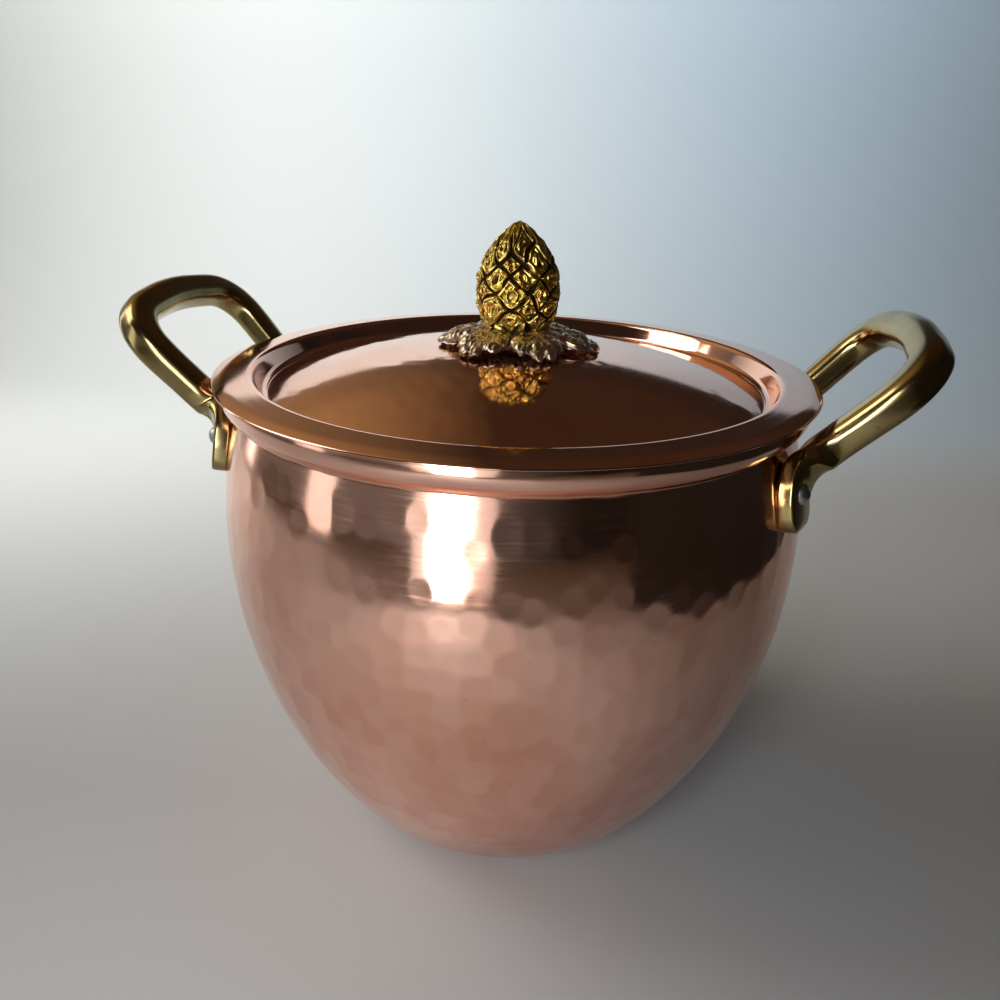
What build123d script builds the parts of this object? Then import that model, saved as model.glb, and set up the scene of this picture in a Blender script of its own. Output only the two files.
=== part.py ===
from build123d import *
import os
from math import asin, atan2, cos, hypot, radians, sin, sqrt, tan

os.makedirs("parts", exist_ok=True)

# Driving sizes: millimetres and degrees, +Z up, origin at the middle of the pot's underside

# Pot: hammered copper wall, smooth flared rim band, tin lining
belly_radius = 125.7        # widest outside radius
belly_height = 145.0
foot_tuck = 54.2            # from the belly in to where the wall's curve would meet the table
base_rounding = 50.0        # corner between the flat underside and the wall
neck_tuck = 8.9             # from the belly in to the neck, under the rim band
neck_above_belly = 56.0
band_step = 1.4             # the rim band stands this far out of the neck
band_crease = 1.6           # height of that step
band_height = 11.8          # from the neck to the rim's top
rim_flare = 5.6             # from the neck out to the rim's top edge
rim_bulge = 1.0             # how far the band's side bows outwards
rim_land = 2.6              # width of the flat top edge
copper_wall = 2.0
tin = 0.4

# Lid: flat rim, nearly upright recess wall, shallow dome
lid_overhang = 2.6          # the lid's edge, outside the rim's
lid_sheet = 1.6
lid_hem = 2.4               # the rim is folded double
seat_gap = 0.05
recess_inset = 12.9         # from the rim's edge in to the top of the recess wall
recess_taper = 3.5          # from there in to the wall's foot
recess_depth = 8.8
recess_fillet = 1.5
dome_rise = 16.5            # dome's top above the recess foot
lid_edge_rounding = 1.0     # outer edges of the rim
lid_inner_rounding = 1.4    # where the rim turns down into the recess
lid_tin = 0.3
lid_tin_gap = 0.03          # clearance between the lid's copper and its tin

# Handles: cast brass loops on two riveted feet each
foot_azimuth = 23.5         # each foot, either side of the handle's middle
rivet_drop = 27.2           # rivets below the rim's top
foot_width = 20.0
foot_above = 11.5           # from the rivet to the foot's top
foot_below = 13.8           # from the rivet to the foot's bottom
foot_thickness = 5.5
foot_corner = 7.0
foot_edge = 1.2
loop_slope = 47.4           # the legs' rise, above the horizontal
loop_width = 88.0           # between the corners of the loop's middle line
loop_reach = 28.5           # from the lid's edge to the loop's corners
loop_bow = 6.5              # the bar's middle lies this far beyond its corners
loop_corner = 13.0
bar_curve = 110.0
knee_out = 2.5              # the legs' knee, outside the feet's faces
knee_width = 72.0           # between the legs' knees
knee_rise = 8.4             # knee above the rivets
knee_share = 0.9            # share of the first run that the knee's bend takes
root_rise = 10.5            # the leg's root above the rivets
bar_width = 12.4            # section of the loop, along its plane
bar_thickness = 12.0        # section of the loop, square to its plane
bar_rounding = 4.2

# Rivets
rivet_shank = 2.5           # radius
rivet_head = 4.2            # radius
rivet_dome = 3.4
rivet_tail = 1.2
rivet_tail_gap = 0.1

# Knob: leaf collar and pine cone, held by a screw from under the lid
leaf_reach = 35.0
leaf_count = 6
leaf_end = 8.0              # radius of each leaf's round end
leaf_side = 6.5             # radius of the smaller lobe on either side of it
leaf_side_back = 4.0        # the side lobes end this far inside the leaf's tip
leaf_side_turn = 18.0       # side lobes, either way from the leaf's middle
leaf_disc = 24.5            # the leaves are joined up to this radius
leaf_droop = 8.6            # collar's top above the dome's top
leaf_sheet = 2.4
leaf_clear = 0.3            # tips above the lid
collar_radius = 10.5
cone_radius = 17.4
cone_height = 41.0
cone_base_radius = 10.0
cone_belly = 12.0           # height of the cone's widest ring above its base
cone_point = 1.3            # above 1 the cone's upper half is slimmer than an ellipse
scale_columns = 8
scale_rows = 7
scale_bump = 2.6            # radius of the largest scale's boss
screw_radius = 2.5
screw_head_radius = 5.0
screw_head_height = 3.0
screw_slot = 1.2
screw_grip = 16.0           # length of screw inside the cone
washer_radius = 8.0
washer_thickness = 1.2
washer_gap = 0.12

same_point = 0.01           # corners closer than this are one corner
crossing_steps = 20

# Wall curves: two arcs that share an upright tangent at the belly
foot_radius = belly_radius - foot_tuck
neck_radius = belly_radius - neck_tuck
neck_height = belly_height + neck_above_belly
rim_radius = neck_radius + rim_flare
rim_height = neck_height + band_height
lower_arc = ((belly_radius - foot_radius) ** 2 + belly_height**2) / (2 * (belly_radius - foot_radius))
neck_drop = belly_radius - neck_radius
neck_rise = neck_height - belly_height
upper_arc = (neck_drop**2 + neck_rise**2) / (2 * neck_drop)
neck_angle = asin(neck_rise / upper_arc)


def upper_point(inset, angle):
    """Point on the upper wall arc, inset from the outside, at an angle above the belly."""
    radius = upper_arc - inset
    return (belly_radius - upper_arc + radius * cos(angle), belly_height + radius * sin(angle))


def corner_at(section, point):
    """Corners of a sketch that lie at a point."""
    return [v for v in section.vertices() if abs(v.X - point[0]) + abs(v.Y - point[1]) < same_point]


def vessel(inset, top_radius, name):
    """Solid filled up to a wall that lies inset from the pot's outside, with a flared lip."""
    lower = lower_arc - inset
    foot = belly_radius - lower_arc + sqrt(lower**2 - (belly_height - inset) ** 2)
    belly = (belly_radius - inset, belly_height)
    throat = upper_point(inset, neck_angle)
    with BuildPart() as body:
        with BuildSketch(Plane.XZ) as section:
            with BuildLine():
                Line((0, inset), (foot, inset))
                TangentArc(belly, (foot, inset), tangent=(0, -1))
                TangentArc(belly, throat, tangent=(0, 1))
                Polyline(throat, (top_radius, rim_height), (0, rim_height), (0, inset))
            make_face()
            fillet(corner_at(section, (foot, inset)), base_rounding - inset)
            fillet(corner_at(section, throat), copper_wall + inset)
        revolve(axis=Axis.Z)
    body.part.label = name
    return body.part


copper_top = rim_height - tin
lip_inner = rim_radius - rim_land
copper_cavity = vessel(copper_wall, lip_inner, "copper_cavity")
tin_cavity = vessel(copper_wall + tin, lip_inner - tin, "tin_cavity")

# Outside of the pot: wall, crease and the bowed rim band
neck = upper_point(0, neck_angle)
crease = (neck_radius + band_step, neck_height + band_crease)
with BuildPart() as outside:
    with BuildSketch(Plane.XZ) as outside_section:
        with BuildLine():
            Line((0, 0), (foot_radius, 0))
            TangentArc((belly_radius, belly_height), (foot_radius, 0), tangent=(0, -1))
            TangentArc((belly_radius, belly_height), neck, tangent=(0, 1))
            Line(neck, crease)
            SagittaArc(crease, (rim_radius, copper_top), -rim_bulge)
            Polyline((rim_radius, copper_top), (0, copper_top), (0, 0))
        make_face()
        fillet(corner_at(outside_section, (foot_radius, 0)), base_rounding)
    revolve(axis=Axis.Z)

# Feet of the handles: one place for each rivet, on the leaning wall
rivet_height = rim_height - rivet_drop
lid_radius = rim_radius + lid_overhang
foot_lean = asin((rivet_height - belly_height) / upper_arc)
wall_radius = upper_point(0, foot_lean)[0]


def foot_plane(azimuth):
    """Plane on the outside wall at a rivet: x along the wall, y up it, z straight out of it."""
    out = Vector(cos(radians(azimuth)), sin(radians(azimuth)), 0)
    normal = out * cos(foot_lean) + Vector(0, 0, sin(foot_lean))
    across = Vector(-sin(radians(azimuth)), cos(radians(azimuth)), 0)
    return Plane(origin=out * wall_radius + Vector(0, 0, rivet_height), x_dir=across, z_dir=normal)


foot_planes = {
    "right_front": foot_plane(-foot_azimuth),
    "right_rear": foot_plane(foot_azimuth),
    "left_front": foot_plane(180 + foot_azimuth),
    "left_rear": foot_plane(180 - foot_azimuth),
}

# Rivet: domed head outside the foot, shank, low tail inside the tin
tail_start = -(copper_wall + tin + rivet_tail_gap)
head_curve = (rivet_head**2 + rivet_dome**2) / (2 * rivet_dome)
tail_curve = (rivet_head**2 + rivet_tail**2) / (2 * rivet_tail)
for place, plane in foot_planes.items():
    with BuildPart() as rivet:
        with BuildSketch(plane.offset(tail_start)):
            Circle(rivet_shank)
        extrude(amount=foot_thickness - tail_start)
        with BuildSketch(Plane(origin=plane.origin, x_dir=plane.x_dir, z_dir=-plane.y_dir)):
            with BuildLine():
                Line((0, foot_thickness), (rivet_head, foot_thickness))
                RadiusArc((rivet_head, foot_thickness), (0, foot_thickness + rivet_dome), -head_curve)
                Line((0, foot_thickness + rivet_dome), (0, foot_thickness))
            make_face()
            with BuildLine():
                Line((0, tail_start), (rivet_head, tail_start))
                RadiusArc((rivet_head, tail_start), (0, tail_start - rivet_tail), tail_curve)
                Line((0, tail_start - rivet_tail), (0, tail_start))
            make_face()
        revolve(axis=Axis(plane.origin, plane.z_dir))
    rivet.part.label = place + "_rivet"
    export_step(rivet.part, "parts/" + rivet.part.label + ".step")


def rivet_hole(plane):
    """Round hole for a rivet's shank through wall and foot, as a loose tool."""
    with BuildPart(mode=Mode.PRIVATE) as tool:
        with BuildSketch(plane.offset(2 * tail_start)):
            Circle(rivet_shank)
        extrude(amount=2 * foot_thickness - 2 * tail_start)
    return tool.part


rivet_tools = [rivet_hole(plane) for plane in foot_planes.values()]

with BuildPart() as pot_body:
    add(outside.part)
    add(copper_cavity, mode=Mode.SUBTRACT)
    add(rivet_tools, mode=Mode.SUBTRACT)
pot_body.part.label = "pot_body"
export_step(pot_body.part, "parts/pot_body.step")

# Tin: a thin skin inside the copper that turns over the rim's top edge
with BuildPart() as pot_lining:
    add(copper_cavity)
    with BuildSketch(Plane.XY.offset(copper_top)):
        Circle(rim_radius)
    extrude(amount=tin)
    add(tin_cavity, mode=Mode.SUBTRACT)
    add(rivet_tools, mode=Mode.SUBTRACT)
pot_lining.part.label = "pot_lining"
export_step(pot_lining.part, "parts/pot_lining.step")

# Handle: the loop's middle line runs root, knee, corner, bar and back again
face_radius = wall_radius + foot_thickness
root = Vector(
    (wall_radius + foot_thickness / 3) * cos(radians(foot_azimuth)),
    (wall_radius + foot_thickness / 3) * sin(radians(foot_azimuth)) - foot_width / 8,
    rivet_height + root_rise,
)
knee = Vector(face_radius * cos(radians(foot_azimuth)) + knee_out, knee_width / 2, rivet_height + knee_rise)
corner_x = lid_radius + loop_reach
corner_z = knee.Z + (corner_x - knee.X) * tan(radians(loop_slope))
corner = Vector(corner_x, loop_width / 2, corner_z)
bow = Vector(cos(radians(loop_slope)), 0, sin(radians(loop_slope))) * loop_bow
bar_middle = Vector(corner.X, 0, corner.Z) + bow
loop_normal = Vector(-sin(radians(loop_slope)), 0, cos(radians(loop_slope)))
half_line = [root, knee, corner]
middle_line = half_line + [bar_middle] + [Vector(p.X, -p.Y, p.Z) for p in reversed(half_line)]
knee_turn = radians((knee - root).get_angle(corner - knee))
knee_curve = knee_share * (knee - root).length / tan(knee_turn / 2)

with BuildPart() as loop:
    with BuildLine(mode=Mode.PRIVATE) as loop_line:
        FilletPolyline(*middle_line, radius=[knee_curve, loop_corner, bar_curve, loop_corner, knee_curve])
    half_loop = loop_line.wire().trim(0.5, 1)
    with BuildSketch(Plane(origin=half_loop @ 0, x_dir=loop_normal, z_dir=half_loop % 0)):
        RectangleRounded(bar_thickness, bar_width, bar_rounding)
    sweep(path=half_loop)
    mirror(about=Plane.XZ)


def riveted_foot(plane):
    """Plate with rounded corners from inside the wall out to its face, round one rivet."""
    with BuildPart() as foot:
        with BuildSketch(plane.offset(-foot_thickness)) as face:
            with Locations((0, (foot_above - foot_below) / 2)):
                Rectangle(foot_width, foot_above + foot_below)
            fillet(face.vertices(), foot_corner)
        extrude(amount=2 * foot_thickness)
        front = foot.faces().sort_by(Axis(plane.origin, plane.z_dir))[-1]
        fillet(front.edges(), foot_edge)
    return foot.part


for side, turn in (("right", 0), ("left", 180)):
    with BuildPart() as handle:
        add(loop.part.rotate(Axis.Z, turn))
        add(riveted_foot(foot_planes[side + "_front"]))
        add(riveted_foot(foot_planes[side + "_rear"]))
        add(outside.part, mode=Mode.SUBTRACT)
        add(rivet_tools, mode=Mode.SUBTRACT)
    handle.part.label = side + "_handle"
    export_step(handle.part, "parts/" + handle.part.label + ".step")

# Lid: thin sheet whose rim is folded double and rests on the tinned edge
recess_top_radius = rim_radius - recess_inset
recess_foot_radius = recess_top_radius - recess_taper
lid_seat = rim_height + seat_gap
lid_top = lid_seat + lid_hem
foot_level = lid_top - recess_depth
dome_top = foot_level + dome_rise
dome_curve = (recess_foot_radius**2 + dome_rise**2) / (2 * dome_rise)
wall_lean = atan2(recess_top_radius - recess_foot_radius, recess_depth)


def recess_wall(inset, level):
    """Point on the recess wall at a level, inset from its upper side."""
    return (recess_foot_radius + inset / cos(wall_lean) + (level - foot_level) * tan(wall_lean), level)


def recess_foot(inset):
    """Point where the dome's curve meets the recess wall, both inset from their upper sides."""
    level = foot_level - inset
    for _ in range(crossing_steps):
        radius = recess_wall(inset, level)[0]
        level = dome_top - dome_curve + sqrt((dome_curve - inset) ** 2 - radius**2)
    return (radius, level)


def dished_sheet(upper, lower, rim, roundings, name):
    """Lid sheet between two insets, closed outside by the rim's points, with rounded rim corners."""
    with BuildPart() as sheet:
        with BuildSketch(Plane.XZ) as section:
            with BuildLine():
                RadiusArc((0, dome_top - upper), recess_foot(upper), dome_curve - upper)
                Polyline(recess_foot(upper), *rim, recess_foot(lower))
                RadiusArc(recess_foot(lower), (0, dome_top - lower), lower - dome_curve)
                Line((0, dome_top - lower), (0, dome_top - upper))
            make_face()
            for inset in (upper, lower):
                fillet(corner_at(section, recess_foot(inset)), recess_fillet + inset)
            for point, rounding in roundings:
                fillet(corner_at(section, point), rounding)
        revolve(axis=Axis.Z)
        with BuildSketch(Plane.XY.offset(foot_level)):
            Circle(screw_radius)
        extrude(amount=2 * dome_rise, mode=Mode.SUBTRACT)
    sheet.part.label = name
    export_step(sheet.part, "parts/" + name + ".step")
    return sheet.part


rim_inner = recess_wall(0, lid_top)
rim_upper = (lid_radius, lid_top)
rim_lower = (lid_radius, lid_seat)
lid_body = dished_sheet(
    0,
    lid_sheet,
    [rim_inner, rim_upper, rim_lower, recess_wall(lid_sheet, lid_seat)],
    [(rim_inner, lid_inner_rounding), (rim_upper, lid_edge_rounding), (rim_lower, lid_edge_rounding)],
    "lid_body",
)
tin_inset = lid_sheet + lid_tin_gap
lid_lining = dished_sheet(
    tin_inset,
    tin_inset + lid_tin,
    [recess_wall(tin_inset, lid_seat), recess_wall(tin_inset + lid_tin, lid_seat)],
    [],
    "lid_lining",
)

# Leaf collar: a skirt of cast leaves that droops to the lid, round a solid hub on the dome
collar_top = dome_top + leaf_droop
tip_level = dome_top - leaf_reach**2 / (2 * dome_curve) + leaf_clear
hub_level = dome_top - leaf_sheet
skirt_inner = (collar_radius, collar_top)
skirt_tip = (leaf_reach, tip_level + leaf_sheet / 2)
hollow_inner = (collar_radius, collar_top - 2 * leaf_sheet)
hollow_tip = (leaf_reach - leaf_sheet, tip_level)


def cap_radius(inner, outer):
    """Radius of the sphere round the axis that passes through two points of a section."""
    spread = (outer[0] ** 2 - inner[0] ** 2) / (2 * (inner[1] - outer[1]))
    return hypot(inner[0], (inner[1] - outer[1]) / 2 + spread)


leaf_turns = [360 * leaf / leaf_count for leaf in range(leaf_count)]
with BuildPart() as leaf_rosette:
    with BuildSketch(Plane.XZ):
        with BuildLine():
            Line((0, collar_top), skirt_inner)
            RadiusArc(skirt_inner, skirt_tip, cap_radius(skirt_inner, skirt_tip))
            Polyline(
                skirt_tip,
                (leaf_reach + leaf_sheet, skirt_tip[1]),
                (leaf_reach + leaf_sheet, tip_level),
                hollow_tip,
            )
            RadiusArc(hollow_tip, hollow_inner, -cap_radius(hollow_inner, hollow_tip))
            Polyline(hollow_inner, (collar_radius, hub_level), (0, hub_level), (0, collar_top))
        make_face()
    revolve(axis=Axis.Z)
    with BuildSketch(Plane.XY.offset(foot_level)):
        Circle(leaf_disc)
        for turn in leaf_turns:
            with PolarLocations(leaf_reach - leaf_end, 1, start_angle=turn):
                Circle(leaf_end)
            for side_turn in (turn - leaf_side_turn, turn + leaf_side_turn):
                with PolarLocations(leaf_reach - leaf_side_back - leaf_side, 1, start_angle=side_turn):
                    Circle(leaf_side)
    extrude(amount=dome_rise + 2 * leaf_droop, mode=Mode.INTERSECT)
    with BuildSketch(Plane.XZ):
        with BuildLine():
            RadiusArc((0, dome_top), recess_foot(0), dome_curve)
            Polyline(recess_foot(0), (0, recess_foot(0)[1]), (0, dome_top))
        make_face()
    revolve(axis=Axis.Z, mode=Mode.SUBTRACT)
    with BuildSketch(Plane.XY.offset(foot_level)):
        Circle(screw_radius)
    extrude(amount=dome_rise + 2 * leaf_droop, mode=Mode.SUBTRACT)
leaf_rosette.part.label = "leaf_rosette"
export_step(leaf_rosette.part, "parts/leaf_rosette.step")

# Pine cone: an egg on the collar, covered in rings of scales that stagger from one to the next
egg_base = cone_base_radius - scale_bump / 3
egg_radius = cone_radius - scale_bump / 3


def egg_outline(level):
    """Radius of the smooth egg at a height above its base."""
    if level < cone_belly:
        swell = 1 - (1 - level / cone_belly) ** 2
        return egg_base + (egg_radius - egg_base) * sqrt(swell)
    return egg_radius * cos(asin((level - cone_belly) / (cone_height - cone_belly))) ** cone_point


egg_levels = [cone_height * step / 12 for step in range(12)]
with BuildPart() as pine_cone:
    with BuildSketch(Plane.XZ):
        with BuildLine():
            egg = Spline(
                *[(egg_outline(level), collar_top + level) for level in egg_levels],
                (0, collar_top + cone_height),
            )
            Polyline(egg @ 1, (0, collar_top), egg @ 0)
        make_face()
    revolve(axis=Axis.Z)
    for row in range(scale_rows):
        level = cone_height * (row + 0.6) / (scale_rows + 0.7)
        stagger = (row % 2) * 180 / scale_columns
        size = scale_bump * (1 + egg_outline(level) / egg_radius) / 2
        with Locations((0, 0, collar_top + level)):
            with PolarLocations(egg_outline(level) - size / 2, scale_columns, start_angle=stagger):
                Sphere(size)
    with BuildSketch(Plane.XY.offset(collar_top)):
        Circle(screw_radius)
    extrude(amount=screw_grip, mode=Mode.SUBTRACT)
pine_cone.part.label = "pine_cone"
export_step(pine_cone.part, "parts/pine_cone.step")

# Screw and washer that clamp the knob from under the dome
washer_top = dome_top - tin_inset - lid_tin - washer_gap
head_top = washer_top - washer_thickness
with BuildPart() as knob_washer:
    with BuildSketch(Plane.XY.offset(head_top)):
        Circle(washer_radius)
        Circle(screw_radius, mode=Mode.SUBTRACT)
    extrude(amount=washer_thickness)
knob_washer.part.label = "knob_washer"
export_step(knob_washer.part, "parts/knob_washer.step")

with BuildPart() as knob_screw:
    with BuildSketch(Plane.XY.offset(head_top - screw_head_height)):
        Circle(screw_head_radius)
    extrude(amount=screw_head_height)
    fillet(knob_screw.edges().sort_by(Axis.Z)[0], screw_head_height / 2)
    with BuildSketch(Plane.XY.offset(head_top)):
        Circle(screw_radius)
    extrude(amount=collar_top + screw_grip - head_top)
    with BuildSketch(Plane.XY.offset(head_top - screw_head_height)):
        Rectangle(2 * screw_head_radius, screw_slot)
    extrude(amount=screw_head_height / 3, mode=Mode.SUBTRACT)
knob_screw.part.label = "knob_screw"
export_step(knob_screw.part, "parts/knob_screw.step")
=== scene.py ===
# %% [markdown]
# # A copper stockpot, dressed for its portrait
# The pot comes in as plain solids from the workshop drawing. This lesson gives it its looks: hammer
# marks in the wall, soft cast brass handles, a leaf collar and a pine cone knob, and metal finishes.
# Every solid that comes in is a fixed frame: we never move it. Where its shape is already right we
# only give it a better finish. Where the real piece has more form, we build a new piece in its place.

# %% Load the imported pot
import math

import bmesh
import bpy
import numpy as np
from mathutils import Matrix, Quaternion, Vector


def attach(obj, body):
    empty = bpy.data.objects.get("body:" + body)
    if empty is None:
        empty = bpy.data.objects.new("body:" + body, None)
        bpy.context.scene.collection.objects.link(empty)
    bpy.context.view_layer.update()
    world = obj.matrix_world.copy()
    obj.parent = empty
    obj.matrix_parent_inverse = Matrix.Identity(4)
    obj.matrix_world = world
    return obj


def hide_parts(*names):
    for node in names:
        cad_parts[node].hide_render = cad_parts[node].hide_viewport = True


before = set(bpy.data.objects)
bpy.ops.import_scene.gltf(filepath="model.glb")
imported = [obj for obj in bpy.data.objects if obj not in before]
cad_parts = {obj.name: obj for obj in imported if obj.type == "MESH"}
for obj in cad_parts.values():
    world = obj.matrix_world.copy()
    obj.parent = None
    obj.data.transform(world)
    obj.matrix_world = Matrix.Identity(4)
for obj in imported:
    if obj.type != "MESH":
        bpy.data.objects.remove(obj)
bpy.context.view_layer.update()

print("nodes:", ", ".join(sorted(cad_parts)))

# %% [markdown]
# ## Working sizes
# A coppersmith thinks in millimetres, Blender in metres. All shapes below are worked out in
# millimetres and shrunk once, when their mesh is made. The sizes of the wall's curves are repeated
# here, because the new pieces have to sit exactly where the plain solids sit. The wall is drawn with
# two arcs that meet at the belly, and a smaller one that rounds it into the flat underside.

# %% Sizes of the wall
mm = 0.001
full_turn = 2 * math.pi
belly_radius, belly_height = 125.7, 145.0
lower_arc, upper_arc = 221.06, 180.63
base_rounding = 50.0
neck_height = 201.0
rim_radius, rim_height = 122.4, 212.4
print(f"pot {2 * belly_radius:.0f} mm wide, {rim_height:.0f} mm to the rim")

# %% [markdown]
# ## From rows of points to a mesh
# Most pieces of a pot are rings of points joined to the next ring, as a basket is woven. One helper
# does it for all: it takes the rows, joins them with four-sided faces and closes each end with a fan
# round one middle point. Blender's own lathe, the Screw modifier, could turn a plain profile, but it
# couldn't put a different dent at each point of the wall.

# %% Weave rows of points into a closed skin
def placed(name, shape):
    """New object for a mesh, a lamp or a camera, put into the scene."""
    thing = bpy.data.objects.new(name, shape)
    bpy.context.collection.objects.link(thing)
    return thing


def report(piece):
    """Prints how large a new piece is, in millimetres, and how many faces it has."""
    sizes = ", ".join(f"{size / mm:.1f}" for size in piece.dimensions)
    print(f"{piece.name}: {sizes} mm, {len(piece.data.polygons)} faces")


def woven_piece(name, rows, first_middle, last_middle):
    """Closed mesh over rings of points, each row as long as the next, with a fan at both ends."""
    rows = np.asarray(rows)
    ring_count, around = rows.shape[:2]
    points = np.concatenate([rows.reshape(-1, 3), [first_middle, last_middle]]) * mm
    ring, step = np.meshgrid(np.arange(ring_count - 1), np.arange(around), indexing="ij")
    here = ring * around + step
    beside = ring * around + (step + 1) % around
    quads = np.stack([here, beside, beside + around, here + around], axis=-1).reshape(-1, 4)
    fans = []
    for middle, start in ((ring_count * around, 0), (ring_count * around + 1, (ring_count - 1) * around)):
        fans += [(middle, start + a, start + (a + 1) % around) for a in range(around)]
    mesh = bpy.data.meshes.new(name)
    mesh.from_pydata(points.tolist(), [], quads.tolist() + fans)
    shaper = bmesh.new()
    shaper.from_mesh(mesh)
    bmesh.ops.recalc_face_normals(shaper, faces=shaper.faces)
    shaper.to_mesh(mesh)
    shaper.free()
    mesh.shade_smooth()
    piece = placed(name, mesh)
    report(piece)
    return piece


# %% [markdown]
# ## Profiles
# A profile is the outline that a spinning pot shows from the side: pairs of radius and height. Arcs
# are sampled into short steps, and the whole line is then shared out evenly, so that all faces of
# the wall come out the same size. A profile's normals tell which way is straight out of the metal.

# %% Draw, share out and spin profile lines
def arc_points(centre, radius, start, end, count):
    """Points on an arc from one angle to another, in degrees, as pairs of radius and height."""
    angles = np.radians(np.linspace(start, end, count))
    return np.stack([centre[0] + radius * np.cos(angles), centre[1] + radius * np.sin(angles)], axis=-1)


def travelled(line):
    """How far along a line each of its points lies."""
    runs = np.linalg.norm(np.diff(line, axis=0), axis=1)
    return np.concatenate([[0], np.cumsum(runs)])


def shared_out(line, step):
    """The same line with its points about one step apart."""
    line = np.asarray(line, dtype=float)
    gone = travelled(line)
    places = np.linspace(0, gone[-1], max(2, int(round(gone[-1] / step)) + 1))
    return np.stack([np.interp(places, gone, column) for column in line.T], axis=-1)


def round_axis(radius, turn, height):
    """Points, or directions, from a distance and a turn round the pot's axis, and a height."""
    parts = np.broadcast_arrays(radius * np.cos(turn), radius * np.sin(turn), height)
    return np.stack(parts, axis=-1)


def ring_turns(around):
    """Turn of each point of a ring."""
    return np.arange(around) * full_turn / around


def spun(profile, around):
    """Rings of points that a profile leaves as it spins."""
    return round_axis(profile[:, :1], ring_turns(around), profile[:, 1:])


def outward(profile):
    """Unit normals of a profile that climbs: pairs of radius and height."""
    along = np.gradient(profile, axis=0)
    along /= np.linalg.norm(along, axis=1)[:, None]
    return np.stack([along[:, 1], -along[:, 0]], axis=-1)


# %% [markdown]
# ## The outline of the wall
# The wall tucks in to a small flat base, swells to the belly and closes to the neck. Above a tight
# crease sits the rim band, which the smith rolled over a stake into one soft bead. We draw each run
# as the arc that it really is, because a row of hand-set points would show as bumps in polished
# metal. The band gets finer steps than the wall: its curve is tighter.

# %% Draw the wall and the rim band
wall_centre = (belly_radius - lower_arc, belly_height)
shoulder_centre = (belly_radius - upper_arc, belly_height)
corner_reach = math.sqrt((lower_arc - base_rounding) ** 2 - (belly_height - base_rounding) ** 2)
corner_centre = (wall_centre[0] + corner_reach, base_rounding)
corner_angle = math.degrees(math.asin((base_rounding - belly_height) / (lower_arc - base_rounding)))
neck_angle = math.degrees(math.asin((neck_height - belly_height) / upper_arc))
wall_line = np.concatenate([
    arc_points(corner_centre, base_rounding, -90, corner_angle, 40),
    arc_points(wall_centre, lower_arc, corner_angle, 0, 80)[1:],
    arc_points(shoulder_centre, upper_arc, 0, neck_angle, 60)[1:],
])
neck_crease = [[116.85, 201.2], [117.2, 201.55], [117.7, 201.75], [118.2, 202.05]]
bead_radius, bead_height = 8.2, 209.5
bead_centre = (rim_radius - bead_radius, bead_height)
band_line = np.concatenate([
    neck_crease,
    arc_points(bead_centre, bead_radius, -56.5, 20.0, 40),
    [[121.7, rim_height]],
])
wall_step, band_step = 1.15, 0.45
wall_profile = shared_out(wall_line, wall_step)
band_profile = shared_out(band_line, band_step)
print("wall rings:", len(wall_profile), "band rings:", len(band_profile))

# %% [markdown]
# ## Hammer marks
# The smith planishes the wall on a stake, column by column. Each blow of the slightly crowned hammer
# leaves a shallow mark about a centimetre wide, which leans a little its own way. A noise bump in
# the finish would look like orange peel, so we do what the hammer does. The marks stand in upright
# columns on the upper wall, with taller strokes under the neck. Lower down the wall narrows, and the
# smith drops columns to keep the blows one size. A seeded random stream gives each blow its own
# place, lean and depth, so that the pot is the same each time the lesson runs.

# %% Set out the blows
facet_size = 9.6
facet_depth, depth_spread = 0.15, 0.26
facet_lean = 0.015
side_stray, rise_stray = 0.09, 0.12
columns_above = 100.0
strokes_under_neck = [11.0, 15.0, 25.0]


def blow_rows(gone):
    """Middle and height of each row of blows along the profile, from the base up."""
    plain = (gone[-1] - sum(strokes_under_neck)) / facet_size
    heights = np.array([facet_size * plain / round(plain)] * round(plain) + strokes_under_neck)
    return np.cumsum(heights) - heights / 2, heights


def blows_in_row(radius, height):
    """How many blows go round: on the upper wall as many as at the belly, so columns stand upright."""
    widest = belly_radius if height > columns_above else radius
    return int(round(full_turn * widest / facet_size))


def struck_facets(profile, gone, rows, heights, randoms):
    """Middle, facing and depth of each blow, row by row, and how many blows each row has."""
    columns = np.concatenate([profile, outward(profile)], axis=1).T
    middles, faces, depths, counts = [], [], [], []
    for row, tall in zip(rows, heights):
        count = blows_in_row(np.interp(row, gone, columns[0]), np.interp(row, gone, columns[1]))
        turns = (np.arange(count) + randoms.normal(0, side_stray, count)) * full_turn / count
        rise = row + randoms.normal(0, rise_stray, count) * tall
        radius, height, tilt_out, tilt_up = (np.interp(rise, gone, column) for column in columns)
        lean_side, lean_up = randoms.normal(0, facet_lean, (2, count))
        side = np.stack([-np.sin(turns), np.cos(turns), 0 * turns], axis=-1)
        out = round_axis(tilt_out, turns, tilt_up)
        up = np.cross(out, side)
        face = out + side * lean_side[:, None] - up * lean_up[:, None]
        middles.append(round_axis(radius, turns, height))
        faces.append(face / np.linalg.norm(face, axis=1)[:, None])
        depths.append(facet_depth * (1 + randoms.normal(0, depth_spread, count)))
        counts.append(count)
    return np.concatenate(middles), np.concatenate(faces), np.concatenate(depths), np.array(counts)


row_heights = blow_rows(travelled(wall_profile))[1]
print(f"{len(row_heights)} rows of blows, {row_heights.min():.1f} to {row_heights.max():.1f} mm tall")

# %% [markdown]
# Now the wall is pressed in. At each of its points we look at the nine nearest blows and keep
# whichever lies deepest. A soft minimum, the sum of exponentials below, rounds the ridges between
# the marks as the rubbing does. Each blow also gets a random tone, which the copper's finish reads
# later, because every blow burnishes its own patch. The marks fade out at the base and at the neck.
# The hammer's crown bends each mark up from its middle, until a square of distance in square mm.

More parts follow.
